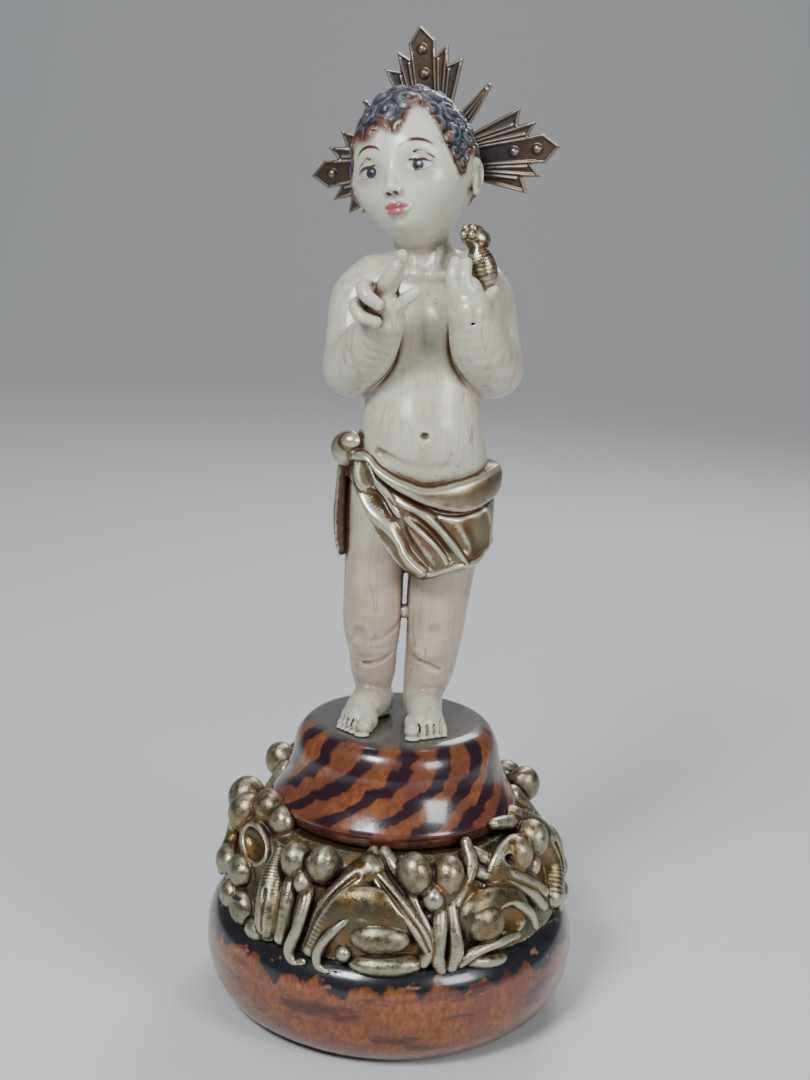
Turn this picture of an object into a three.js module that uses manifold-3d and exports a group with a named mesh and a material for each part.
// A standing child carved in ivory, blessing with one hand and holding a small gilded piece in the other,
// with a rayed metal halo behind its head, on a turned and gilded wooden pedestal.
// Millimetres, +Z up. The figure faces -Y, and the pedestal's axis is the Z axis, with its underside on Z = 0.
// "Right" and "left" are the figure's own: its right side is at -X.
import * as THREE from 'three';
import { mergeVertices } from 'three/addons/utils/BufferGeometryUtils.js';
import Module from 'manifold-3d';

const wasm = await Module();
wasm.setup();

// Driving dimensions of the pedestal
const GAP = 0.3;
const BUN_RADIUS = 61;
const BUN_WIDEST_Z = 22;
const FOOT_RADIUS = 49.5;
const COLLAR_Z = 36;
const COLLAR_TOP_Z = 64.2;
const COLLAR_LOW_RADIUS = 59.2;
const COLLAR_TOP_RADIUS = 42;
const DOME_RIM_RADIUS = 40;
const DOME_RIM_Z = 68.5;
const DOME_TOP_RADIUS = 31.5;
const DOME_TOP_Z = 95.4;
const TURNED_SIDES = 28;
const CARVED_SIDES = 21;

// The knobs round the collar: azimuth from the front in degrees, distance from the axis, height, lobe radius
const KNOBS = [
  [-131, 49.5, 67.5, 6.4],
  [-84, 49.5, 64.5, 7],
  [-31, 49.5, 61.5, 6],
  [14.5, 49.5, 61.5, 6.6],
  [59, 49.5, 62.5, 6.2],
  [121, 49.5, 65, 6.6],
  [176, 49.5, 64, 6.2],
];

// Driving dimensions of the figure
const SOLE_Z = DOME_TOP_Z + GAP;
const HEAD_CENTRE = [-1.6, 2, 270.6];
const HEAD_HALF_WIDTH = 18.9;
const HEAD_HALF_DEPTH = 20.8;
const HEAD_HALF_HEIGHT = 24.9;
const HEAD_YAW = -20;
const HEAD_ROLL = -11;
const HEAD_PITCH = -8;
const HAIR_THICKNESS = 1.2;
const CURL_DEPTH = 1.1;

// How high the hair reaches down, as the sine of elevation, by the angle from the face
const HAIRLINE = [[0, 0.62], [38, 0.58], [62, 0.3], [80, 0.12], [96, -0.42], [130, -0.62], [180, -0.66]];

// The trunk's sections: height, centre X, half width, front Y, back Y
const TRUNK = [
  [244, 2.6, 9.5, -5, 9],
  [238, 2.5, 16, -8.5, 12],
  [226, 2.8, 19, -12.5, 12.6],
  [214, 3.1, 18, -15, 11.2],
  [203, 3.5, 17.6, -18, 10],
  [194, 3.7, 18.8, -20, 10],
  [186, 3.7, 20.6, -19.8, 11.5],
  [178, 3.6, 22.4, -17.5, 14],
  [166, 3.5, 23.2, -14.5, 15.5],
  [154, 2.6, 20.5, -11, 13],
];

// The arms and legs as [x, y, z, radius] from shoulder to wrist and from hip to ankle
const RIGHT_ARM = [
  [-13.4, 4, 238.2, 6.6],
  [-17, 2.4, 231, 9.2],
  [-18.4, -1, 222, 8.7],
  [-18.4, -6, 211, 9.2],
  [-13.8, -15.4, 217.5, 8.8],
  [-8.4, -26, 227, 6],
];
const LEFT_ARM = [
  [17.6, 4, 240.4, 6.8],
  [21, 2.4, 233, 9.6],
  [22.8, -1, 224, 9.5],
  [24.8, -6, 212.6, 9.5],
  [20.4, -16, 220, 9.2],
  [16.6, -22.5, 230, 6.6],
];
const RIGHT_LEG = [
  [-7, 0, 165, 12],
  [-9.3, -1, 148, 9.8],
  [-9.5, -1.8, 136, 9.5],
  [-9.5, -2.2, 128, 9.3],
  [-8.9, -0.2, 118, 7.8],
  [-8.6, 1, 112, 7.3],
  [-8.2, 2.5, 105, 5.7],
  [-7.4, 3.5, 99, 5.6],
];
const LEFT_LEG = [
  [13.5, 0, 165, 12.4],
  [12.2, -1, 148, 10.7],
  [11.3, -1.5, 137, 10],
  [10.9, -1.8, 128, 9.3],
  [10.1, 0, 118, 8.5],
  [9.4, 1, 112, 8],
  [8, 2.3, 104.5, 6.6],
  [7.8, 3, 99, 6],
];

// The loincloth: its waist ellipse, and the height of its top edge and hem at azimuths from the front
const CLOTH_CENTRE = [3.6, -1];
const CLOTH_HALF_WIDTH = 24.6;
const CLOTH_HALF_DEPTH = 18.4;
const CLOTH_TOP = [
  [-180, 181], [-110, 183], [-66, 186], [-30, 184], [-10, 178], [15, 175.5], [55, 180], [110, 182], [180, 181],
];
const CLOTH_HEM = [
  [-180, 158], [-120, 168], [-80, 177], [-42, 171], [-10, 153.5], [8, 146], [40, 151], [90, 155], [180, 158],
];
const FOLD_DEPTH = 1.5;
const FOLD_COUNT = 13;
const KNOT = [-18.6, -7, 185.3];
const KNOT_RADIUS = 6;

// The gilded piece in the left hand: the centres of its two lobes
const HELD_LOWER = [19.6, -15.6, 243.4];
const HELD_UPPER = [17, -13.6, 252];

// Driving dimensions of the halo. Its outline is given as [angle from straight up, distance from its centre]:
// a cluster runs from its first notch over two slanted rays to the lance, and is the same mirrored on the far side.
const HALO_CENTRE = [4, 26, 274];
const HALO_ROLL = -8.2;
const HALO_THICKNESS = 1.2;
const HUB_RADIUS = 13;
const LANCE_TIP = 42.4;
const HALF_CLUSTER = [[30, HUB_RADIUS], [23.6, 33.4], [15.4, 30.2], [13.6, 36.6], [7.4, 32.6], [7, 37.4]];
const SINGLE_RAY = [[39, 17], [44, 30.4], [47, 30.4], [51, 17]];
const BOSS_RADIUS = 2.1;

const radians = THREE.MathUtils.degToRad;
const smoothstep = THREE.MathUtils.smoothstep;
const vector = ([x, y, z]) => new THREE.Vector3(x, y, z);

// The height that a table of [key, value] pairs gives at a key, on straight lines between the pairs
function lookup(table, key) {
  const next = table.findIndex(([at]) => at >= key);
  if (next <= 0) {
    return next === 0 ? table[0][1] : table[table.length - 1][1];
  }
  const [from, low] = table[next - 1];
  const [to, high] = table[next];
  return THREE.MathUtils.mapLinear(key, from, to, low, high);
}

// A closed geometry as a solid that can be joined and cut
function solid(geometry) {
  const plain = geometry.clone();
  plain.deleteAttribute('normal');
  plain.deleteAttribute('uv');
  const merged = mergeVertices(plain, 1e-4);
  return new wasm.Manifold(new wasm.Mesh({
    numProp: 3,
    vertProperties: new Float32Array(merged.attributes.position.array),
    triVerts: new Uint32Array(merged.index.array),
  }));
}

const join = (parts) => parts.reduce((whole, part) => whole.add(part));

function geometryOf(whole) {
  const mesh = whole.getMesh();
  const geometry = new THREE.BufferGeometry();
  geometry.setAttribute('position', new THREE.BufferAttribute(new Float32Array(mesh.vertProperties), 3));
  geometry.setIndex(new THREE.BufferAttribute(new Uint32Array(mesh.triVerts), 1));
  geometry.computeVertexNormals();
  return geometry;
}

// A sphere's mesh with each vertex moved to place(share of the way down, angle round)
function shaped(sides, rings, place) {
  const ball = new THREE.SphereGeometry(1, sides, rings);
  const position = ball.attributes.position;
  for (let index = 0; index < position.count; index += 1) {
    const ring = Math.floor(index / (sides + 1));
    const side = index % (sides + 1) % sides;
    const point = place(ring / rings, (2 * Math.PI * side) / sides);
    position.setXYZ(index, point.x, point.y, point.z);
  }
  return solid(ball);
}

// An ellipsoid, turned by degrees about X, Y and then Z
function blob(centre, radii, turn = [0, 0, 0], sides = 6, rings = 4) {
  const geometry = new THREE.SphereGeometry(1, sides, rings);
  geometry.rotateX(Math.PI / 2);
  geometry.scale(...radii);
  geometry.rotateX(radians(turn[0]));
  geometry.rotateY(radians(turn[1]));
  geometry.rotateZ(radians(turn[2]));
  geometry.translate(...centre);
  return solid(geometry);
}

// A limb through stations [x, y, z, radius] with closed ends, its section widest along the direction wide
function limb(stations, { sides = 8, steps = 6, wide = [1, 0, 0], ratio = 1 } = {}) {
  const route = new THREE.CatmullRomCurve3(stations.map(vector));
  const sizes = new THREE.SplineCurve(stations.map((station, index) => new THREE.Vector2(index, station[3])));
  const rings = [[0, -0.7, 0]];
  for (let step = 0; step <= steps; step += 1) {
    rings.push([route.getUtoTmapping(step / steps), 0, 1]);
  }
  rings.push([1, 0.7, 0]);
  const across = vector(wide);
  return shaped(sides, rings.length - 1, (down, angle) => {
    const [share, ahead, size] = rings[Math.round(down * (rings.length - 1))];
    const radius = sizes.getPoint(share).y;
    const along = route.getTangent(share);
    const side = across.clone().addScaledVector(along, -across.dot(along)).normalize();
    const up = side.clone().cross(along);
    return route.getPoint(share)
      .addScaledVector(along, ahead * radius)
      .addScaledVector(side, size * radius * Math.cos(angle))
      .addScaledVector(up, size * radius * ratio * Math.sin(angle));
  });
}

// A turned solid from its profile of [radius, z] pairs, which starts and ends on the axis
function turnedSolid(profile, sides = TURNED_SIDES) {
  const points = profile.map(([radius, z]) => new THREE.Vector2(radius, z));
  const geometry = new THREE.LatheGeometry(points, sides);
  geometry.rotateX(Math.PI / 2);
  return solid(geometry);
}

// The place at an azimuth from the front, a distance from the axis and a height
function around(azimuth, distance, z) {
  return [distance * Math.sin(radians(azimuth)), -distance * Math.cos(radians(azimuth)), z];
}

// Pedestal: a turned bun, a carved and gilded collar, and a turned dome
function pedestalBun() {
  const low = new THREE.Vector2(FOOT_RADIUS, 0);
  const belly = new THREE.Vector2(BUN_RADIUS, BUN_WIDEST_Z);
  const shoulder = new THREE.Vector2(COLLAR_LOW_RADIUS - 2, COLLAR_Z - 2.5);
  const lower = new THREE.QuadraticBezierCurve(low, new THREE.Vector2(BUN_RADIUS, 6), belly);
  const upper = new THREE.QuadraticBezierCurve(belly, new THREE.Vector2(BUN_RADIUS, COLLAR_Z - 6), shoulder);
  const outline = [...lower.getPoints(4), ...upper.getPoints(2).slice(1)].map(({ x, y }) => [x, y]);
  return turnedSolid([[0, 0], ...outline, [COLLAR_LOW_RADIUS - 9, COLLAR_Z], [0, COLLAR_Z]]);
}

// One knob of two lobes in a calyx of two straps, which run down side by side as a ribbed stem
function knobUnit([azimuth, distance, z, lobe], index) {
  const lean = index % 2 === 0 ? 0.8 : -0.8;
  const radii = [lobe, lobe, lobe * 1.1];
  const lobes = [-1, 1].map((way) => blob(around(azimuth + way * 6.2, distance, z + way * lean), radii));
  const straps = [-1, 1].map((way) => limb([
    [...around(azimuth + way * 19, COLLAR_TOP_RADIUS + 5, (z + COLLAR_TOP_Z) / 2), 3.4],
    [...around(azimuth + way * 13, COLLAR_TOP_RADIUS + 12, COLLAR_TOP_Z - 9), 4],
    [...around(azimuth + way * 2.6, COLLAR_LOW_RADIUS - 3.6, COLLAR_TOP_Z - 17), 3.2],
    [...around(azimuth + way * 2.2, COLLAR_LOW_RADIUS - 1.8, COLLAR_Z + 2.5), 2.2],
  ], { sides: 3, steps: 3 }));
  return join([...lobes, ...straps]);
}

// One hanging bell under an arched petal, midway between two knobs
function bellUnit(azimuth, half) {
  const arch = [
    [...around(azimuth - half, COLLAR_LOW_RADIUS - 1.6, COLLAR_Z + 2.2), 2.4],
    [...around(azimuth - half * 0.8, COLLAR_LOW_RADIUS - 2.6, COLLAR_Z + 10), 3],
    [...around(azimuth, COLLAR_LOW_RADIUS - 4.6, COLLAR_Z + 18), 3.4],
    [...around(azimuth + half * 0.8, COLLAR_LOW_RADIUS - 2.6, COLLAR_Z + 11), 3],
    [...around(azimuth + half, COLLAR_LOW_RADIUS - 1.4, COLLAR_Z + 3), 2.4],
  ];
  return join([
    limb(arch, { sides: 3, steps: 4 }),
    blob(around(azimuth, COLLAR_LOW_RADIUS - 5.4, COLLAR_Z + 7), [8.8, 6.2, 7], [0, 0, azimuth]),
  ]);
}

function gildedCollar() {
  const core = turnedSolid([
    [0, COLLAR_Z + GAP + 0.02],
    [COLLAR_LOW_RADIUS - 8.3, COLLAR_Z + GAP + 0.02],
    [COLLAR_LOW_RADIUS - 2.2, COLLAR_Z - 1.8],
    [COLLAR_LOW_RADIUS - 4, COLLAR_Z + 9],
    [COLLAR_LOW_RADIUS - 8.6, COLLAR_Z + 19],
    [COLLAR_TOP_RADIUS + 5, COLLAR_TOP_Z - 2.4],
    [COLLAR_TOP_RADIUS, COLLAR_TOP_Z],
    [0, COLLAR_TOP_Z],
  ], CARVED_SIDES);
  const parts = [core];
  KNOBS.forEach((knob, index) => {
    parts.push(knobUnit(knob, index));
    const next = KNOBS[(index + 1) % KNOBS.length][0];
    const opening = (next - knob[0] + 360) % 360;
    parts.push(bellUnit(knob[0] + opening / 2, opening * 0.31));
  });
  return join(parts);
}

function domeProfile() {
  const rim = new THREE.Vector2(DOME_RIM_RADIUS, DOME_RIM_Z + 2);
  const neck = new THREE.Vector2(DOME_TOP_RADIUS + 2.2, DOME_TOP_Z - 9);
  const edge = new THREE.Vector2(DOME_TOP_RADIUS - 6, DOME_TOP_Z);
  const flare = new THREE.QuadraticBezierCurve(rim, new THREE.Vector2(neck.x + 0.6, DOME_RIM_Z + 10), neck);
  const corner = new THREE.Vector2(DOME_TOP_RADIUS + 0.4, DOME_TOP_Z - 0.4);
  const shoulder = new THREE.QuadraticBezierCurve(neck, corner, edge);
  const outline = [...flare.getPoints(3), ...shoulder.getPoints(2).slice(1)].map(({ x, y }) => [x, y]);
  return [
    [0, COLLAR_TOP_Z + GAP],
    [DOME_RIM_RADIUS - 4, COLLAR_TOP_Z + GAP],
    [DOME_RIM_RADIUS - 0.8, DOME_RIM_Z - 1],
    ...outline,
    [0, DOME_TOP_Z],
  ];
}

// Head: a skull shape by direction, small added features, and short curls over the crown, sides and nape
function headMatrix() {
  const turn = new THREE.Euler(radians(HEAD_PITCH), radians(HEAD_ROLL), radians(HEAD_YAW), 'ZYX');
  return new THREE.Matrix4().makeRotationFromEuler(turn).setPosition(vector(HEAD_CENTRE));
}

function hairCover(direction) {
  const fromFace = THREE.MathUtils.radToDeg(Math.atan2(Math.abs(direction.x), -direction.y));
  const line = lookup(HAIRLINE, fromFace);
  return smoothstep(direction.z, line - 0.06, line + 0.06);
}

// A soft rise round one direction of the head
function rise(direction, towards, spread) {
  const apart = direction.distanceTo(vector(towards).normalize());
  return Math.exp(-((apart / spread) ** 2));
}

function headRadius(direction) {
  const { x, y, z } = direction;
  const jaw = 1 - 0.2 * smoothstep(-z, 0.15, 0.95);
  const nape = 1 - 0.24 * smoothstep(-z, 0.2, 0.9) * smoothstep(y, 0, 0.8);
  const width = HEAD_HALF_WIDTH * jaw;
  const depth = HEAD_HALF_DEPTH * nape;
  const ellipsoid = 1 / Math.hypot(x / width, y / depth, z / HEAD_HALF_HEIGHT);
  const cheek = [0.52, -0.72, -0.42];
  const socket = [0.33, -0.93, -0.1];
  let radius = ellipsoid + 1.3 * rise(direction, [0, -0.62, -0.78], 0.26);
  for (const way of [-1, 1]) {
    radius += 1.3 * rise(direction, [way * cheek[0], cheek[1], cheek[2]], 0.36);
    radius -= 1.2 * rise(direction, [way * socket[0], socket[1], socket[2]], 0.2);
  }
  return radius + HAIR_THICKNESS * hairCover(direction);
}

// The curls are bumps that alternate from one vertex of the hair to the next
function headSkull() {
  const sides = 26;
  const rings = 20;
  return shaped(sides, rings, (down, angle) => {
    const slope = Math.PI * down;
    const direction = new THREE.Vector3(
      Math.sin(slope) * Math.cos(angle),
      Math.sin(slope) * Math.sin(angle),
      Math.cos(slope),
    );
    const step = Math.round(down * rings) + Math.round((angle * sides) / (2 * Math.PI));
    const curl = step % 2 === 0 ? CURL_DEPTH : 0;
    const fade = smoothstep(Math.sin(slope), 0.2, 0.4);
    const radius = headRadius(direction) + fade * curl * hairCover(direction);
    return direction.multiplyScalar(radius).applyMatrix4(headMatrix());
  });
}

// A small ellipsoid set in the head's own frame
function onHead(centre, radii, turn, sides, rings) {
  return blob(centre, radii, turn, sides, rings).transform(headMatrix().toArray());
}

function headFeatures() {
  const parts = [
    limb([[0, -19.8, 1.5, 1.5], [0, -22.4, -4.5, 2], [0, -23, -8, 2.6]], { sides: 5, steps: 2 })
      .transform(headMatrix().toArray()),
    onHead([0, -19.6, -13.6], [3.8, 2.4, 1.2], [0, 0, 0], 6, 4),
    onHead([0, -19.2, -15.8], [3.2, 2.4, 1.4], [0, 0, 0], 6, 4),
  ];
  for (const way of [-1, 1]) {
    parts.push(onHead([way * 2.3, -21.6, -8.4], [1.6, 1.6, 1.4], [0, 0, 0], 6, 4));
    parts.push(onHead([way * 7, -17.6, -2.4], [3.4, 2.4, 2.2], [0, 0, 0], 6, 4));
    parts.push(onHead([way * 18.6, 1.5, -4.5], [2.2, 3.6, 5.8], [0, 0, 0], 6, 4));
  }
  return parts;
}

// The trunk, through its sections
function trunk() {
  const heights = TRUNK.map((section) => section[0]);
  const column = (index) => TRUNK.map((section) => [-section[0], section[index]]);
  const [centreX, halfWidth, front, back] = [1, 2, 3, 4].map(column);
  const rings = 11;
  return shaped(14, rings, (down, angle) => {
    const ring = Math.round(down * rings);
    const inside = THREE.MathUtils.clamp(ring - 1, 0, rings - 2) / (rings - 2);
    const z = THREE.MathUtils.lerp(heights[0], heights[heights.length - 1], inside);
    const open = ring === 0 || ring === rings ? 0 : 1;
    const middle = (lookup(front, -z) + lookup(back, -z)) / 2;
    const halfDepth = (lookup(back, -z) - lookup(front, -z)) / 2;
    return new THREE.Vector3(
      lookup(centreX, -z) + open * lookup(halfWidth, -z) * Math.cos(angle),
      middle + open * halfDepth * Math.sin(angle),
      z + (ring === 0 ? 2 : 0),
    );
  });
}

// Hands: a palm and fingers, each finger a thin limb
const FINGER = { sides: 4, steps: 2 };

function blessingHand() {
  return [
    blob([-9.4, -29, 232.5], [6.4, 4, 6.6], [0, 20, 0], 8, 5),
    limb([[-7.4, -30, 237, 2.4], [-5.6, -32.5, 242.5, 2.2], [-4.3, -34, 246.6, 1.9]], FINGER),
    limb([[-10, -30.5, 237.5, 2.4], [-7.6, -34, 241, 2.1], [-5.8, -35.5, 243.6, 1.9]], FINGER),
    limb([[-13, -29.5, 236.4, 2.3], [-14.6, -33.8, 235.8, 2.2], [-10.6, -35, 232.4, 1.9]], FINGER),
    limb([[-15, -28, 232.4, 2.2], [-16.6, -32.6, 230, 2], [-11, -33.6, 227.4, 1.8]], FINGER),
    limb([[-6, -29.5, 231, 2.6], [-2.6, -31.5, 234.4, 2.1], [0.4, -32, 236.2, 1.7]], FINGER),
  ];
}

function holdingHand() {
  return [
    blob([15, -22.5, 235.5], [5.4, 4, 6], [0, 0, 0], 8, 5),
    limb([[11.8, -22, 235, 2.4], [10.8, -22.5, 240.5, 2.3], [11.6, -21, 244.6, 2]], FINGER),
    limb([[14.6, -24, 237, 2.4], [14.2, -23.8, 241.5, 2.1], [14.8, -20.6, 244.8, 1.8]], FINGER),
    limb([[18, -23.6, 234.6, 2.3], [20.2, -21.5, 234.2, 2.2], [23.4, -17.4, 236.4, 1.9]], FINGER),
  ];
}

// A foot from heel to toes, with five toes along its front edge
function foot(heel, bigToe, littleToe) {
  const ball = vector(bigToe).lerp(vector(littleToe), 0.46);
  const back = vector(heel);
  const forward = ball.clone().sub(back).normalize();
  const middle = back.clone().lerp(ball, 0.45);
  const front = ball.clone().addScaledVector(forward, -5.5);
  const parts = [limb([
    [back.x, back.y, SOLE_Z + 4.6, 5.4],
    [middle.x, middle.y, SOLE_Z + 5.2, 5.9],
    [front.x, front.y, SOLE_Z + 2.6, 5.6],
  ], { sides: 8, steps: 3, ratio: 0.86 })];
  for (let toe = 0; toe < 5; toe += 1) {
    const size = 2.9 - 0.3 * toe;
    const place = vector(bigToe).lerp(vector(littleToe), toe / 4).addScaledVector(forward, -size);
    const turn = [0, 0, THREE.MathUtils.radToDeg(Math.atan2(forward.x, -forward.y))];
    parts.push(blob([place.x, place.y, SOLE_Z + size * 0.75], [size * 0.82, size * 1.5, size], turn, 5, 3));
  }
  return parts;
}

// Loincloth: a skirt of folds that fan out from the knot, a rolled edge above it, the knot and its hanging end
function clothPoint(azimuth, z, proud) {
  const side = radians(azimuth);
  return new THREE.Vector3(
    CLOTH_CENTRE[0] + (CLOTH_HALF_WIDTH + proud) * Math.sin(side),
    CLOTH_CENTRE[1] - (CLOTH_HALF_DEPTH + proud) * Math.cos(side),
    z,
  );
}

function foldHeight(azimuth, z) {
  const across = (azimuth + 70) * 0.38;
  const fall = KNOT[2] - z;
  const fan = Math.atan2(fall, Math.max(across, 0.1));
  const reach = Math.hypot(across, fall);
  const plain = azimuth < -75 || azimuth > 110 ? 0.35 : 1;
  return plain * FOLD_DEPTH * smoothstep(reach, 3, 16) * Math.cos(FOLD_COUNT * fan);
}

function skirt() {
  const sides = 32;
  const rings = 7;
  return shaped(sides, rings, (down, angle) => {
    const ring = Math.round(down * rings);
    if (ring === 0 || ring === rings) {
      return new THREE.Vector3(CLOTH_CENTRE[0], CLOTH_CENTRE[1], ring === 0 ? 176 : 162);
    }
    const azimuth = THREE.MathUtils.euclideanModulo(THREE.MathUtils.radToDeg(angle) + 90 + 180, 360) - 180;
    const share = (ring - 1) / (rings - 2);
    const z = THREE.MathUtils.lerp(lookup(CLOTH_TOP, azimuth) - 1.6, lookup(CLOTH_HEM, azimuth), share);
    return clothPoint(azimuth, z, foldHeight(azimuth, z) - 0.4 * share);
  });
}

function rolledEdge() {
  const stations = [];
  for (const azimuth of [-62, -35, -12, 12, 35, 62, 95, 130, 165, 200, 235, 262]) {
    const wrapped = azimuth > 180 ? azimuth - 360 : azimuth;
    const radius = azimuth > 100 || azimuth < -50 ? 2.8 : 3.3;
    const point = clothPoint(azimuth, lookup(CLOTH_TOP, wrapped) - radius, -2.4);
    stations.push([...point.toArray(), radius]);
  }
  return limb(stations, { sides: 5, steps: 14, wide: [0, 0, 1] });
}

function loincloth() {
  const tail = [[-20.6, -5, 181, 3.2], [-20.6, -3.4, 168, 3.4], [-19.8, -2.4, 153, 3]];
  return [
    skirt(),
    rolledEdge(),
    blob(KNOT, [KNOT_RADIUS, KNOT_RADIUS, KNOT_RADIUS], [0, 0, 0], 8, 6),
    limb(tail, { sides: 5, steps: 3, wide: [0, 1, 0], ratio: 0.6 }),
  ];
}

function childFigure() {
  const parts = [
    trunk(),
    limb([[2.8, 3, 236, 9.5], [1.6, 3, 252, 9]], { sides: 10, steps: 1 }),
    headSkull(),
    ...headFeatures(),
    limb(RIGHT_ARM, { sides: 9, steps: 7 }),
    limb(LEFT_ARM, { sides: 9, steps: 7 }),
    blob([-15.2, -4, 218.6], [4, 4, 5]),
    ...blessingHand(),
    ...holdingHand(),
    limb(RIGHT_LEG, { sides: 9, steps: 8 }),
    limb(LEFT_LEG, { sides: 9, steps: 8 }),
    blob([0.9, -3, 132.5], [2, 2.4, 2.2]),
    ...foot([-7.2, 6, 0], [-11.1, -20.5, 0], [-18.4, -13.5, 0]),
    ...foot([7.9, 6, 0], [4.6, -22.5, 0], [14.8, -17.5, 0]),
    ...loincloth(),
  ];
  const below = new THREE.BoxGeometry(120, 120, 20);
  below.translate(0, 0, SOLE_Z - 10);
  return join(parts).subtract(solid(below));
}

// The piece in the hand: one lobe on the other, and a small bump on top
function heldPiece() {
  return join([
    blob(HELD_LOWER, [4.6, 4.4, 6.6], [0, -14, 0], 8, 5),
    blob(HELD_UPPER, [4.8, 4.2, 3.6], [0, 20, 0], 8, 5),
    blob([HELD_UPPER[0] - 2.6, HELD_UPPER[1] - 1.2, HELD_UPPER[2] + 2.6], [1.6, 1.6, 1.6], [0, 0, 0], 5, 3),
  ]);
}

// Halo: one flat sheet with three clusters of rays, a short ray between them, and two bosses on each lance
function haloOutline() {
  const points = [];
  const add = (angle, distance) => {
    points.push(new THREE.Vector2(distance * Math.sin(radians(angle)), distance * Math.cos(radians(angle))));
  };
  for (const middle of [-90, 0, 90]) {
    HALF_CLUSTER.forEach(([angle, distance]) => add(middle - angle, distance));
    add(middle, LANCE_TIP);
    [...HALF_CLUSTER].reverse().forEach(([angle, distance]) => add(middle + angle, distance));
    if (middle < 90) {
      SINGLE_RAY.forEach(([angle, distance]) => add(middle + angle, distance));
    }
  }
  add(180, HUB_RADIUS);
  return new THREE.Shape(points);
}

function rayedHalo() {
  const sheet = new THREE.ExtrudeGeometry(haloOutline(), { depth: HALO_THICKNESS, bevelEnabled: false });
  sheet.rotateX(Math.PI / 2);
  const parts = [solid(sheet)];
  for (const cluster of [-90, 0, 90]) {
    for (const distance of [LANCE_TIP - 7.5, LANCE_TIP - 15]) {
      const boss = blob([0, -HALO_THICKNESS, distance], [BOSS_RADIUS, BOSS_RADIUS * 0.7, BOSS_RADIUS]);
      parts.push(boss.rotate([0, cluster, 0]));
    }
  }
  const turn = new THREE.Euler(0, radians(HALO_ROLL), radians(HEAD_YAW), 'ZYX');
  const place = new THREE.Matrix4().makeRotationFromEuler(turn).setPosition(vector(HALO_CENTRE));
  return join(parts).transform(place.toArray());
}

// Materials, and the pieces as named meshes
const ivory = new THREE.MeshStandardMaterial({ color: 0xe9e2d2, roughness: 0.32, metalness: 0 });
const paintedWood = new THREE.MeshStandardMaterial({ color: 0x9a4f2c, roughness: 0.3, metalness: 0 });
const gilding = new THREE.MeshStandardMaterial({ color: 0x9c8c5e, roughness: 0.35, metalness: 0.85 });
const haloMetal = new THREE.MeshStandardMaterial({ color: 0x8d7c74, roughness: 0.35, metalness: 0.9 });

const statue = new THREE.Group();

function addPiece(name, whole, material) {
  const mesh = new THREE.Mesh(geometryOf(whole), material);
  mesh.name = name;
  statue.add(mesh);
}

addPiece('pedestal_bun', pedestalBun(), paintedWood);
addPiece('gilded_collar', gildedCollar(), gilding);
addPiece('pedestal_dome', turnedSolid(domeProfile()), paintedWood);
addPiece('child_figure', childFigure(), ivory);
addPiece('gilded_piece_in_hand', heldPiece(), gilding);
addPiece('rayed_halo', rayedHalo(), haloMetal);

export default statue;
